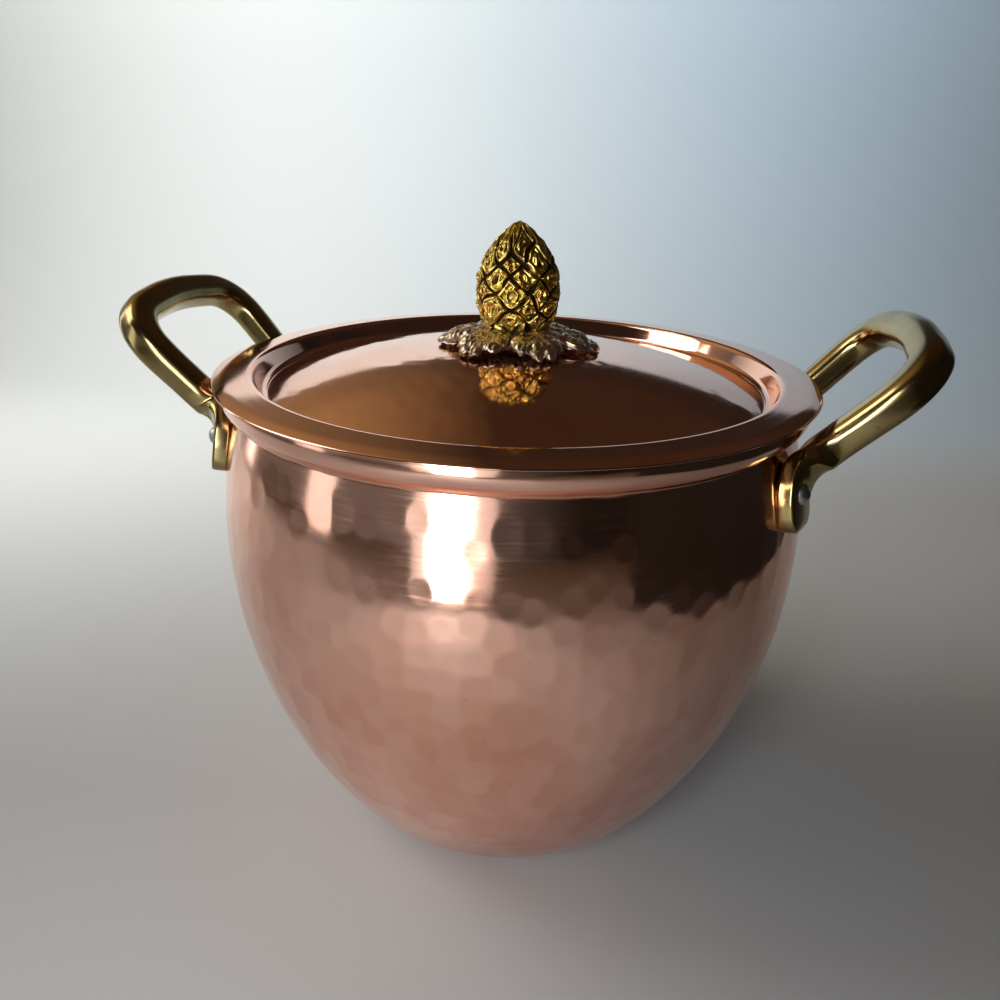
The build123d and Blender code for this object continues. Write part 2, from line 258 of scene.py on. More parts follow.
# %% Press the blows into the wall
wall_around = 720
hammer_crown, crown_limit = 230.0, 60.0
ridge_softness, tone_softness = 0.012, 0.025
deepest_drop, least_press = 1.5, 0.02
base_fade, neck_fade = 30.0, 2.5


def ring_normals(profile, around):
    """Which way is straight out of the metal, at each point of a spun profile."""
    slope = outward(profile)
    return round_axis(slope[:, :1], ring_turns(around), slope[:, 1:])


def hammered(profile, around, seed):
    """Rings of wall points, pressed in to the nearest blows, with the press and tone at each."""
    rings, normals = spun(profile, around), ring_normals(profile, around)
    gone = travelled(profile)
    rows, heights = blow_rows(gone)
    middles, faces, depths, counts = struck_facets(profile, gone, rows, heights, np.random.default_rng(seed))
    tones = np.random.default_rng(seed + 1).uniform(0, 1, counts.sum())
    firsts = np.cumsum(counts) - counts
    nearest_row = np.abs(gone[:, None] - rows[None, :]).argmin(axis=1)
    total, tone, tone_total = (np.zeros(rings.shape[:2]) for _ in range(3))
    for row_step in (-1, 0, 1):
        row = np.clip(nearest_row + row_step, 0, len(counts) - 1)
        present = (row == nearest_row + row_step)[:, None].astype(float)
        row_count = counts[row][:, None]
        column = np.round(ring_turns(around) / full_turn * row_count).astype(int)
        for column_step in (-1, 0, 1):
            facet = firsts[row][:, None] + (column + column_step) % row_count
            away = rings - middles[facet]
            drop = -depths[facet] - np.einsum("rci,rci->rc", away, faces[facet])
            drop /= np.einsum("rci,rci->rc", normals, faces[facet])
            drop += np.minimum((away**2).sum(axis=-1), crown_limit) / (2 * hammer_crown)
            drop = np.clip(drop, -deepest_drop, deepest_drop)
            total += present * np.exp(-drop / ridge_softness)
            share = present * np.exp(-drop / tone_softness)
            tone += share * tones[facet]
            tone_total += share
    press = np.minimum(-ridge_softness * np.log(total), -least_press)
    strength = np.clip(profile[:, 1] / base_fade, 0, 1) ** 1.5 * np.clip((gone[-1] - gone) / neck_fade, 0, 1)
    tone = 0.5 + (tone / tone_total - 0.5) * strength[:, None]
    return rings + normals * (press * strength[:, None])[:, :, None], press, tone


wall_rings, press, blow_tones = hammered(wall_profile, wall_around, 11)
print(f"deepest hammer mark: {-press.min():.2f} mm, mean {-press.mean():.2f} mm")

# %% [markdown]
# ## Small waves in spun metal
# No spun rim or lid is perfect: polishing and years of use leave long shallow waves. They hardly
# show in the outline, but they make the reflections swim. A few sine waves in chosen directions are
# enough, and they repeat exactly on every run.

# %% Long shallow waves
def soft_waves(points, wavelength, height, seed, count=14):
    """Sum of sine waves with about one wavelength, at points in millimetres."""
    randoms = np.random.default_rng(seed)
    waves = 0
    for _ in range(count):
        heading = randoms.normal(size=3)
        heading /= np.linalg.norm(heading)
        length = wavelength * randoms.uniform(0.7, 1.6)
        waves = waves + np.sin(points @ heading * full_turn / length + randoms.uniform(0, full_turn))
    return waves * height / math.sqrt(count / 2)


def waved(profile, around, wavelength, height, seed):
    """Rings of a spun profile, moved in and out a little along its normals."""
    rings = spun(profile, around)
    return rings + ring_normals(profile, around) * soft_waves(rings, wavelength, height, seed)[:, :, None]


# %% [markdown]
# ## The pot's copper
# The pot is one sheet, so its mesh is one closed skin: out along the flat underside, up the hammered
# wall, over the rim band, and back down the inside, which the tin covers. Two separate skins would
# leave an open edge at the lip. The blows' tones are stored in the mesh as a named attribute.

# %% Put the pot's copper together
copper_wall = 2.0
middle_hole = 1.5
underside = np.array([[middle_hole, 0.0], [corner_centre[0], 0.0]])
inner_line = np.concatenate([
    [[119.8, rim_height], [117.6, 207.0], [114.9, 201.5]],
    arc_points(shoulder_centre, upper_arc - copper_wall, neck_angle - 1, 0, 14),
    arc_points(wall_centre, lower_arc - copper_wall, 0, corner_angle, 18)[1:],
    arc_points(corner_centre, base_rounding - copper_wall, corner_angle, -90, 10)[1:],
    [[middle_hole, copper_wall]],
])
floor_rings = spun(shared_out(underside, 6.0)[:-1], wall_around)
band_rings = waved(band_profile, wall_around, 9.0, 0.02, 5)
pot_wall = woven_piece(
    "hammered_pot",
    np.concatenate([floor_rings, wall_rings, band_rings, spun(inner_line, wall_around)]),
    (0, 0, 0),
    (0, 0, copper_wall),
)
blow = pot_wall.data.attributes.new("blow", "FLOAT", "POINT")
blow_values = np.full(len(pot_wall.data.vertices), 0.5, dtype=np.float32)
first_blow = floor_rings.shape[0] * wall_around
blow_values[first_blow:first_blow + blow_tones.size] = blow_tones.reshape(-1)
blow.data.foreach_set("value", blow_values)
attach(pot_wall, "pot")
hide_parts("pot_body")

# %% [markdown]
# ## The lid
# The lid is one sheet of copper: a rim whose edge is folded under and falls away slightly, a nearly
# upright wall down into a recess, and a shallow dome. Its corners are rounded over a former. Corners
# are given as points with a radius, and a helper rounds each one, as a smith would with a mallet. A
# bevel modifier would round them too, but it couldn't give each corner its own radius as plainly.

# %% Round the corners of a line
dome_top, dome_curve = 222.95, 348.73


def rounded_line(corners, step):
    """Points along straight runs, with an arc at each inner corner: corners are (point, radius)."""
    spots = [Vector(point) for point, _ in corners]
    points = [spots[0]]
    for before, here, after, (_, radius) in zip(spots, spots[1:], spots[2:], corners[1:]):
        into = (here - before).normalized()
        onward = (after - here).normalized()
        turn = into.angle(onward)
        start = here - into * radius * math.tan(turn / 2)
        axis = into.cross(onward).normalized()
        arm = axis.cross(into) * radius
        pieces = max(2, int(radius * turn / step) + 2)
        for piece in range(pieces + 1):
            points.append(start + arm - Quaternion(axis, turn * piece / pieces) @ arm)
    points.append(spots[-1])
    return shared_out([tuple(point) for point in points], step)


def dome_height(radius, inset=0.0):
    """Height of the lid's dome at a distance from the axis."""
    return dome_top - dome_curve + np.sqrt((dome_curve - inset) ** 2 - radius**2)


# %% [markdown]
# The profile runs out over the dome, round the rim and back along the underside. The polished dome
# gets waves of three lengths, which fade towards the rim, and the whole lid sinks by a fifth of the
# deepest wave, so that no crest stands higher than the plain solid.

# %% Spin the lid
lid_around = 480
lid_sheet = 1.6
lid_seat, lid_top, lid_radius = 212.85, 215.25, 125.0
recess_top, recess_foot, recess_level = 109.5, 106.0, 206.45
dome_radii = np.linspace(middle_hole, recess_foot - 1.6, 90)
dome_line = np.stack([dome_radii, dome_height(dome_radii)], axis=-1)
edge_line = rounded_line(
    [
        ((104.6, 0, dome_height(104.6)), 0),
        ((recess_foot, 0, recess_level), 2.6),
        ((recess_top, 0, lid_top), 2.2),
        ((120.8, 0, 214.6), 18.0),
        ((lid_radius, 0, 213.6), 0.7),
        ((lid_radius, 0, lid_seat), 0.4),
        ((111.1, 0, lid_seat), 0.4),
        ((107.9, 0, 204.9), 2.2),
        ((105.2, 0, dome_height(105.2, lid_sheet)), 0),
    ],
    0.55,
)[:, [0, 2]]
under_radii = np.linspace(104.0, middle_hole, 22)
under_line = np.stack([under_radii, dome_height(under_radii, lid_sheet)], axis=-1)
lid_line = np.concatenate([dome_line, edge_line, under_line])
lid_rings = spun(lid_line, lid_around)
lid_waves = [(8.0, 0.015, 10), (21.0, 0.036, 8), (60.0, 0.05, 9)]
ripple = sum(soft_waves(lid_rings, *wave) for wave in lid_waves)
ripple *= np.clip((recess_top + 1 - lid_line[:, 0]) / 4, 0.15, 1)[:, None]
highest_crest = 0.05
dome_count = len(dome_line)
lid_rings[:, :, 2] -= np.abs(ripple.min()) / 5
lid_rings[:dome_count, :, 2] += np.minimum(ripple[:dome_count], highest_crest)
lid = woven_piece(
    "copper_lid",
    lid_rings,
    (0, 0, lid_rings[0, :, 2].mean()),
    (0, 0, lid_rings[-1, :, 2].mean()),
)
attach(lid, "lid")
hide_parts("lid_body")

# %% [markdown]
# ## The cast handles
# Each handle is one brass casting: a bar bowed outwards, two legs, and a flat foot under each that
# is riveted to the wall. First we need directions at a foot: straight out of the wall, and up along
# it. The foot leans with the wall, so both follow from the height of its rivet.

# %% Sizes and directions of a foot
foot_azimuth = math.radians(23.5)
rivet_height = 185.6
foot_lean = math.asin((rivet_height - belly_height) / upper_arc)
foot_face, foot_sunk = 5.5, -1.0
foot_below, foot_corner, foot_width = 13.8, 7.0, 20.0
foot_edge = 1.3
foot_out = Vector((math.cos(foot_azimuth), math.sin(foot_azimuth), 0))
foot_normal = foot_out * math.cos(foot_lean) + Vector((0, 0, math.sin(foot_lean)))
foot_up = Vector((0, 0, math.cos(foot_lean))) - foot_out * math.sin(foot_lean)
wall_radius = belly_radius - upper_arc + upper_arc * math.cos(foot_lean)
rivet_spot = foot_out * wall_radius + Vector((0, 0, rivet_height))
print(f"feet lean {math.degrees(foot_lean):.1f} degrees, {wall_radius:.1f} mm from the axis")

# %% [markdown]
# The middle line of the casting runs from one foot over the bar to the other foot, so half of it is
# enough. The founder leaves no sharp inner corners, because the metal has to flow. We round each
# corner first, and then blur the loop's line along its length, which takes away the sudden change
# from straight to arc that a polished bar would show as a kink in its highlight.

# %% The line that a handle follows
handle_step = 0.9
line_blur, blur_stations = 3.8, 14
blur_from, blur_run = 17.0, 9.0


def mirrored(point):
    """The same point on the handle's other leg."""
    return Vector((point.x, -point.y, point.z))


def blurred(line, step):
    """The same line, each point replaced by a weighted mean of its neighbours."""
    shifts = np.arange(-blur_stations, blur_stations + 1)
    weights = np.exp(-0.5 * (shifts * step / line_blur) ** 2)
    stations = np.arange(len(line))
    total = 0
    for shift, weight in zip(shifts, weights):
        total = total + weight * line[np.clip(stations + shift, 0, len(line) - 1)]
    return total / weights.sum()


foot_end = rivet_spot - foot_up * foot_below + foot_normal * (foot_face + foot_sunk) / 2
plate_top = rivet_spot + foot_up * 6.0 + foot_normal * 3.0
leg_start = Vector((121.4, 37.5, 197.1))
bar_corner = Vector((152.8, 44.3, 232.4))
bar_middle = Vector((157.2, 0.0, 236.9))
half_way = [(foot_end, 0), (plate_top, 10.0), (leg_start, 13.0), (bar_corner, 17.0)]
other_half = [(mirrored(point), radius) for point, radius in reversed(half_way)]
handle_line = rounded_line(half_way + [(bar_middle, 110.0)] + other_half, handle_step)
stations = np.arange(len(handle_line))
from_foot = np.minimum(stations, stations[::-1]) * handle_step
loop_share = np.clip((from_foot - blur_from) / blur_run, 0, 1)[:, None]
handle_line = handle_line * (1 - loop_share) + blurred(handle_line, handle_step) * loop_share
print(f"handle line: {len(handle_line)} stations")

# %% [markdown]
# A curve with a bevel has one section all along, so we loft instead: a rounded rectangle travels the
# line and slowly changes from the foot's flat plate to the leg's thick bar. The section needs a
# direction for its flat face. On the foot that face looks straight out of the wall; on the loop it
# looks down and out, square to the loop. Between the two it turns smoothly, so the metal seems to
# flow from the foot into the leg. Each change is named with two lengths: how far from the handle's
# end it starts, and how long it takes.

# %% The section of a handle
leg_width, leg_thickness, leg_rounding = 12.6, 12.8, 4.6
bar_swell = 0.8
least_flat = 0.1
narrowing, thickening, softening = (13, 28), (15, 18), (14, 16)
facing_down, swelling, turning = (17, 20), (42, 36), (18, 24)
loop_slope = math.radians(47.4)
loop_under = np.array([math.sin(loop_slope), 0, -math.cos(loop_slope)])


def eased(share):
    """Smooth start and stop for a share from 0 to 1."""
    share = np.clip(share, 0, 1)
    return share * share * (3 - 2 * share)


def grown(gone, start, run):
    """Share of a change that is done, at a distance from the handle's end."""
    return eased((gone - start) / run)


def held_back(radius, gone):
    """How far a rounded end draws in, at a distance from that end."""
    return radius - math.sqrt(max(radius**2 - max(radius - gone, 0) ** 2, 0))


def section_sizes(gone):
    """Width, thickness, corner radius and edge of the section, at a distance from the foot's end."""
    swell = bar_swell * grown(gone, *swelling)
    edge = held_back(foot_edge, gone)
    width = foot_width - 2 * held_back(foot_corner, gone) + swell
    width += (leg_width - foot_width) * grown(gone, *narrowing)
    thick = foot_face - foot_sunk - edge
    thick += (leg_thickness + swell / 3 - foot_face + foot_sunk) * grown(gone, *thickening)
    rounding = foot_edge + (leg_rounding - foot_edge) * grown(gone, *softening)
    return width, thick, min(rounding, width / 2 - least_flat, thick / 2 - least_flat), edge


def rounded_rectangle(width, thick, rounding, corner_steps=7):
    """Points round a rectangle with round corners, as pairs across it and through it."""
    points = []
    for quarter, (side, face) in enumerate(((1, 1), (-1, 1), (-1, -1), (1, -1))):
        for turn in np.linspace(0, math.pi / 2, corner_steps) + quarter * math.pi / 2:
            across = side * (width / 2 - rounding) + rounding * math.cos(turn)
            through = face * (thick / 2 - rounding) + rounding * math.sin(turn)
            points.append((across, through))
    return points


for spot, gone in (("foot", 8), ("leg", 45), ("bar", 90)):
    print(f"{spot}: {section_sizes(gone)[0]:.1f} mm wide, {section_sizes(gone)[1]:.1f} mm thick")

# %% [markdown]
# The two castings come from one pattern, so we loft once and place the rings twice. Sand and filing
# leave soft waves in the skin. Nobody rivets two handles on quite alike: the left loop is turned a
# few degrees against its feet, which a helper does by turning the rings more and more up the legs.

# %% Loft the handles
def handle_rings(line):
    """Rounded sections along the handle's line, flat plate at both ends and thick bar between."""
    gone = travelled(line)
    headings = np.gradient(line, axis=0)
    headings /= np.linalg.norm(headings, axis=1)[:, None]
    rings = []
    for point, heading, from_end in zip(line, headings, np.minimum(gone, gone[-1] - gone)):
        plate_out = np.array([foot_normal.x, foot_normal.y * (1 if point[1] > 0 else -1), foot_normal.z])
        blend = grown(from_end, *facing_down)
        face = plate_out * (1 - blend) + loop_under * blend
        face -= heading * (face @ heading)
        face /= np.linalg.norm(face)
        across = np.cross(heading, face)
        width, thick, rounding, edge = section_sizes(from_end)
        section = rounded_rectangle(width, thick, rounding)
        rings.append([point + across * w + face * (t - edge / 2) for w, t in section])
    return np.array(rings)


def twisted(rings, turn):
    """Rings turned a little round the pot's axis, from nothing at the feet to the full turn."""
    gone = travelled(rings.mean(axis=1))
    turns = turn * grown(np.minimum(gone, gone[-1] - gone), *turning)[:, None]
    x = rings[:, :, 0] * np.cos(turns) - rings[:, :, 1] * np.sin(turns)
    y = rings[:, :, 0] * np.sin(turns) + rings[:, :, 1] * np.cos(turns)
    return np.stack([x, y, rings[:, :, 2]], axis=-1)


loop_rings = handle_rings(handle_line)
loop_rings = loop_rings + soft_waves(loop_rings, 17.0, 0.036, 21)[:, :, None]
handles = []
for side, facing, bend in (("right", 1, 0.0), ("left", -1, 3.1)):
    rings = twisted(loop_rings * np.array([facing, facing, 1]), math.radians(bend))
    handle = woven_piece(f"cast_handle_{side}", rings, rings[0].mean(axis=0), rings[-1].mean(axis=0))
    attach(handle, "pot")
    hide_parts(f"{side}_handle")
    handles.append(handle)

# %% [markdown]
# ## The leaf collar
# Six small leaves lie round the foot of the knob, tips turned down to the lid. Each ends in two beads
# side by side, with two more lobes on either side. A lobe is a circle: its distance from the axis,
# its turn in degrees from the leaf's middle, and its radius. Modelling six leaves one by one is slow.
# Instead the outline is where a ray from the axis leaves the outermost of all the circles. One leaf
# is cast longer than the rest, and short waves make the edge ragged.

# %% Outline of the leaves
leaf_count, leaf_around = 6, 900
leaf_turn = math.radians(3.0)
leaf_lengths = np.array([1.055, 0.97, 0.97, 1.01, 0.97, 0.97])
notch_reach = 17.5
leaf_lobes = [(26.4, 0.0, 4.4)]
for side in (1, -1):
    leaf_lobes += [(30.7, 5.0 * side, 2.7), (25.4, 15.0 * side, 4.2), (20.6, 20.2 * side, 3.1)]

leaf_angles = ring_turns(leaf_around)
leaf_pitch = full_turn / leaf_count
leaf_place = (leaf_angles - leaf_turn + leaf_pitch / 2) / leaf_pitch
leaf_offset = (leaf_place % 1 - 0.5) * leaf_pitch
long_leaf = leaf_lengths[np.floor(leaf_place).astype(int) % leaf_count]


def leaf_reach(offset):
    """Distance from the axis to the leaves' edge, at an angle from a leaf's middle."""
    reach = np.full(offset.shape, notch_reach)
    for distance, turn, radius in leaf_lobes:
        away = offset - math.radians(turn)
        half_chord = radius**2 - (distance * np.sin(away)) ** 2
        edge = distance * np.cos(away) + np.sqrt(np.maximum(half_chord, 0))
        reach = np.where((half_chord > 0) & (np.cos(away) > 0), np.maximum(reach, edge), reach)
    return reach


edge_spots = round_axis(30.0, leaf_angles, 0.0)
leaf_edge = leaf_reach(leaf_offset) * long_leaf + soft_waves(edge_spots, 3.4, 0.2, 43)
print(f"leaves reach from {leaf_edge.min():.1f} to {leaf_edge.max():.1f} mm")

# %% [markdown]
# The relief is drawn from the same lobes: each is a rounded ridge that runs out from the knob and
# swells to its end, and a thin vein is cut down the leaf's middle. Under it lies a smooth skirt that
# falls to the lid. Rows of points from the hub to the edge follow the sum of both, and rows below
# them make the casting solid. How hollow each point is goes into an attribute, as with the blows.

# %% Relief and thickness of the leaves
collar_radius, hub_radius = 10.2, 6.0
collar_top = 231.55
leaf_thickness, edge_thinning, thinnest_leaf, leaf_clearance = 2.0, 0.35, 0.7, 0.45
skirt_top, skirt_fall, skirt_end = 229.4, 6.6, 35.0
ridge_start, ridge_height = 0.35, 0.62
vein_width, vein_depth, vein_start, vein_end, vein_fade = 0.55, 0.45, 12, 30, 4
# Painted shade of the leaves: browner the lower the relief, and pale on the raised parts as a painted
# highlight.
shade_at_skirt, shade_relief_span = 0.70, 1.7
leaf_steps, row_crowding = 60, 1.3


def leaf_relief(radius, offset):
    """Height of the lobes and the vein over the skirt."""
    across, along = radius * np.sin(offset), radius * np.cos(offset)
    relief = np.zeros(radius.shape)
    for distance, turn, size in leaf_lobes:
        way_x, way_y = math.cos(math.radians(turn)), math.sin(math.radians(turn))
        run = np.clip(along * way_x + across * way_y, collar_radius, distance)
        gap = np.hypot(along - run * way_x, across - run * way_y)
        swell = ridge_start + (1 - ridge_start) * (run - collar_radius) / (distance - collar_radius)
        ridge = np.sqrt(np.maximum(1 - (gap / (size * swell)) ** 2, 0))
        relief = np.maximum(relief, ridge * size * swell * ridge_height)
    vein = np.exp(-((across / vein_width) ** 2)) * np.clip((along - vein_start) / vein_fade, 0, 1)
    return relief - vein_depth * vein * np.clip((vein_end - along) / vein_fade, 0, 1)


def leaf_skirt(radius):
    """Smooth upper side of the collar: level at the knob and steeper towards the tips."""
    share = (radius - collar_radius) / (skirt_end - collar_radius)
    return skirt_top - skirt_fall * share**1.25


leaf_rows, under_rows, leaf_painted_shade = [], [], []
for step in np.linspace(0, 1, leaf_steps):
    share = 1 - (1 - step) ** row_crowding
    radius = hub_radius + (leaf_edge - hub_radius) * share
    leaf_spots = round_axis(radius, leaf_angles, 0.0)
    lift = leaf_relief(radius / long_leaf, leaf_offset)
    lift = lift + (soft_waves(leaf_spots, 4.2, 0.20, 41) + soft_waves(leaf_spots, 2.0, 0.13, 42))
    # Painted shade and highlight: the value falls as the relief rises.
    leaf_painted_shade.append(np.clip(shade_at_skirt - lift / shade_relief_span, 0, 1))
    floor = dome_height(radius) + leaf_clearance
    top = leaf_skirt(np.maximum(radius, collar_radius)) + lift
    top = np.minimum(np.maximum(top, floor + thinnest_leaf), collar_top - 0.05)
    low = np.maximum(top - leaf_thickness * (1 - edge_thinning * share), floor)
    leaf_rows.append(round_axis(radius, leaf_angles, top))
    under_rows.append(round_axis(radius, leaf_angles, low))
print(f"leaves are {(leaf_rows[-1] - under_rows[-1])[:, 2].mean():.1f} mm thick at their edge")

# %% [markdown]
# The edge between the two sides bulges out a little, so that light catches it as on a real casting.
# The rows are then woven like every other piece, upper side first.

# %% Cast the collar
edge_bulge = 0.35
edge_middle = (leaf_rows[-1] + under_rows[-1]) / 2
edge_middle[:, :2] *= (1 + edge_bulge / leaf_edge)[:, None]
collar_rings = np.array(leaf_rows + [edge_middle] + under_rows[::-1])
collar = woven_piece(
    "leaf_collar",
    collar_rings,
    (0, 0, collar_rings[0, :, 2].mean()),
    (0, 0, collar_rings[-1, :, 2].mean()),
)
leaf_hollow = collar.data.attributes.new("hollow", "FLOAT", "POINT")
leaf_painted_shade = np.concatenate(leaf_painted_shade + [leaf_painted_shade[-1]] + leaf_painted_shade[::-1] + [[1.0, 1.0]])
leaf_hollow.data.foreach_set("value", leaf_painted_shade.astype(np.float32))
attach(collar, "lid")
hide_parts("leaf_rosette")

# %% [markdown]
# ## The pine cone
# The knob is a cast cone covered in lozenge scales. Under them lies a smooth egg, fullest low down
# and slim at the top, and we draw that first. Below its widest ring it is part of an ellipse; above
# it, two powers set how full its shoulder is and how blunt its tip. Close steps leave room for
# fine scales.

# %% Egg of the cone
cone_foot, cone_height, cone_radius, cone_base, cone_belly = 229.0, 43.5, 16.7, 8.6, 14.5
shoulder_power, tip_power = 2.4, 0.88
cone_around, cone_step = 512, 0.28


def egg_radius(level):
    """Radius of the smooth egg at a height above its base."""
    below = cone_base + (cone_radius - cone_base) * np.sqrt(np.clip(1 - (1 - level / cone_belly) ** 2, 0, 1))
    rise = np.clip((level - cone_belly) / (cone_height - cone_belly), 0, 1)
    above = cone_radius * np.maximum(1 - rise**shoulder_power, 0) ** tip_power
    return np.where(level < cone_belly, below, above)


egg_levels = np.linspace(0, cone_height, 400)
egg_line = shared_out(np.stack([egg_radius(egg_levels), egg_levels], axis=-1), cone_step)[:-1]
cone_angles = ring_turns(cone_around)
cone_spots = spun(egg_line, cone_around)
print(f"egg: {len(egg_line)} rings, {2 * egg_line[:, 0].max():.1f} mm wide")

# %% [markdown]
# Two families of spirals cross to make the scales. On a point of the egg we count which spiral it
# lies on each way, and how far it is from the middle of its scale: grooves run along the edges, a
# raised border inside them, and a small ring in the middle. Slow waves bend the spirals, because
# the pattern was carved by eye. Placing scales one by one could do it too, but their edges would
# need joining, and here they come joined.

# %% Scales of the cone
scale_columns, scale_rows, row_power = 8, 7.4, 0.93
groove_depth, groove_width = 1.0, 0.12
border_height, border_place, border_width = 0.85, 0.30, 0.13
ring_height, ring_size, ring_width = 1.15, 1.9, 0.65
relief_sunk, relief_at_tip = 0.35, 0.3
levels = cone_spots[:, :, 2]
around_share = cone_angles / full_turn * scale_columns + soft_waves(cone_spots, 13.0, 0.06, 32)
row_share = (levels / cone_height) ** row_power * scale_rows + soft_waves(cone_spots, 12.0, 0.13, 33)
spiral_a = (around_share + row_share / 2) % 1
spiral_b = (around_share - row_share / 2) % 1
to_edge = 1 - np.maximum(np.abs(spiral_a - 0.5), np.abs(spiral_b - 0.5)) * 2
scale_width = full_turn * egg_line[:, :1] / scale_columns
scale_tall = cone_height / scale_rows
across_scale = np.abs(spiral_a + spiral_b - 1) * scale_width / 2
to_middle = np.hypot(across_scale, np.abs(spiral_a - spiral_b) * scale_tall)
size_share = np.clip(egg_line[:, :1] / cone_radius, 0.05, 1)
groove = -groove_depth * np.exp(-((to_edge / groove_width) ** 2))
border = border_height * np.exp(-(((to_edge - border_place) / border_width) ** 2))
ring = ring_height * np.exp(-(((to_middle - ring_size * size_share) / ring_width) ** 2))
worn = soft_waves(cone_spots, 6.0, 0.30, 31) + soft_waves(cone_spots, 2.8, 0.08, 34)
scale_relief = groove + border + ring - relief_sunk + worn
scale_relief *= relief_at_tip + (1 - relief_at_tip) * size_share
scale_relief *= eased(levels / 2.0) * eased((cone_height - levels) / 2.5)
print(f"scales: from {scale_relief.min():.2f} to {scale_relief.max():.2f} mm off the egg")

# %% [markdown]
# The relief moves each point out of the egg, mostly sideways, and never above the knob's full
# height. The same relief also tells the finish where to paint shade, darker the deeper the hollow.

# %% Cast the cone
egg_slope = outward(egg_line)
cone_radii = egg_line[:, :1] + scale_relief * np.maximum(egg_slope[:, :1], 0.3)
cone_levels = cone_foot + np.minimum(levels + scale_relief * egg_slope[:, 1:], cone_height - 0.1)
cone_rings = round_axis(cone_radii, cone_angles, cone_levels)
cone = woven_piece("pine_cone_knob", cone_rings, (0, 0, cone_foot), (0, 0, cone_foot + cone_height))
hollow = cone.data.attributes.new("hollow", "FLOAT", "POINT")
# Painted shade: the deeper a point lies in the scales' relief, the darker the gilt is painted there.
hollow_values = np.clip(0.44 - scale_relief.reshape(-1) / 1.15, 0, 1)
hollow.data.foreach_set("value", np.concatenate([hollow_values, [1.0, 0.5]]).astype(np.float32))
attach(cone, "lid")
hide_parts("pine_cone")

# %% [markdown]
# ## Finishes
# Metal gets its colour from what it reflects, so a finish is mostly the metal's tint, how sharp the
# reflection is, and what time has done to it. A small helper adds nodes: settings belong to the
# node, and inputs are either plain values or the output of another node. The rest are the few
# steps that every finish below is made of.

# %% Helpers for finishes
def add_node(tree, kind, inputs=None, **settings):
    """New node with its settings, and values or other nodes' outputs plugged into its inputs."""
    node = tree.nodes.new(kind)
    for key, value in settings.items():
        setattr(node, key, value)
    for key, value in (inputs or {}).items():
        if isinstance(value, bpy.types.NodeSocket):
            tree.links.new(value, node.inputs[key])
        else:
            node.inputs[key].default_value = value
    return node


def blended(tree, share, first, second):
    """Colour between two colours, by a share from 0 to 1."""
    node = add_node(tree, "ShaderNodeMix", {0: share, 6: first, 7: second}, data_type="RGBA")
    return node.outputs[2]


def spread(tree, value, low, high, new_low, new_high):
    """A value stretched from one range to another, and held at its ends."""
    node = add_node(tree, "ShaderNodeMapRange", {0: value, 1: low, 2: high, 3: new_low, 4: new_high})
    return node.outputs[0]


def reckoned(tree, operation, first, second):
    """Sum or product of two values."""
    return add_node(tree, "ShaderNodeMath", {0: first, 1: second}, operation=operation).outputs[0]


def grain(tree, place, scale, detail=3.0, roughness=0.55):
    """Soft random pattern, from 0 to 1."""
    inputs = {"Vector": place, "Scale": scale, "Detail": detail, "Roughness": roughness}
    return add_node(tree, "ShaderNodeTexNoise", inputs).outputs[0]


def stretched(tree, place, scale):
    """Place with each direction stretched, so that a pattern turns into strokes."""
    return add_node(tree, "ShaderNodeMapping", {"Vector": place, "Scale": scale}).outputs[0]


def stored(tree, name):
    """Value that was stored at each point of a mesh."""
    return add_node(tree, "ShaderNodeAttribute", attribute_name=name).outputs["Fac"]


# %% [markdown]
# Every finish starts as bare metal with a place on the object for its patterns. Then it gets colour
# and roughness, and a fine relief that only bends the light. Relief as real faces would need
# millions of them at this size, so a bump node does it.

# %% Start, paint and wear a finish
def new_finish(name):
    """Metal finish with its tree, its shader and the place on the object."""
    finish = bpy.data.materials.new(name)
    finish.use_nodes = True
    tree = finish.node_tree
    shader = tree.nodes["Principled BSDF"]
    shader.inputs["Metallic"].default_value = 1.0
    place = add_node(tree, "ShaderNodeTexCoord").outputs["Object"]
    return finish, tree, shader, place


def paint(tree, shader, colour, roughness):
    """Plugs a colour and a roughness into the metal."""
    tree.links.new(colour, shader.inputs["Base Color"])
    tree.links.new(roughness, shader.inputs["Roughness"])


def raised(tree, shader, height, depth, strength=1.0, below=None):
    """Small relief in the finish: a height pattern, and how deep it is in millimetres."""
    inputs = {"Height": height, "Distance": depth * mm, "Strength": strength}
    if below:
        inputs["Normal"] = below
    bump = add_node(tree, "ShaderNodeBump", inputs).outputs[0]
    tree.links.new(bump, shader.inputs["Normal"])
    return bump


def wear(finish, *pieces):
    """Gives pieces one finish all over."""
    for piece in pieces:
        piece.data.materials.clear()
        piece.data.materials.append(finish)
    print(f"{finish.name}: {', '.join(piece.name for piece in pieces)}")


# %% [markdown]
# ### Copper
# Fresh copper is a warm salmon pink; handled and washed it darkens a little in clouds. The wall was
# hammered and then rubbed, so its reflection is soft, it has short level scratches, and each blow
# has a tone of its own. The lid was polished on a wheel, so its marks run round. One function makes
# both, with its own strokes.

# %% Copper for the wall and for the lid
copper_bright = (0.95, 0.56, 0.43, 1)
copper_deep = (0.80, 0.40, 0.28, 1)
copper_dark = (0.42, 0.17, 0.10, 1)


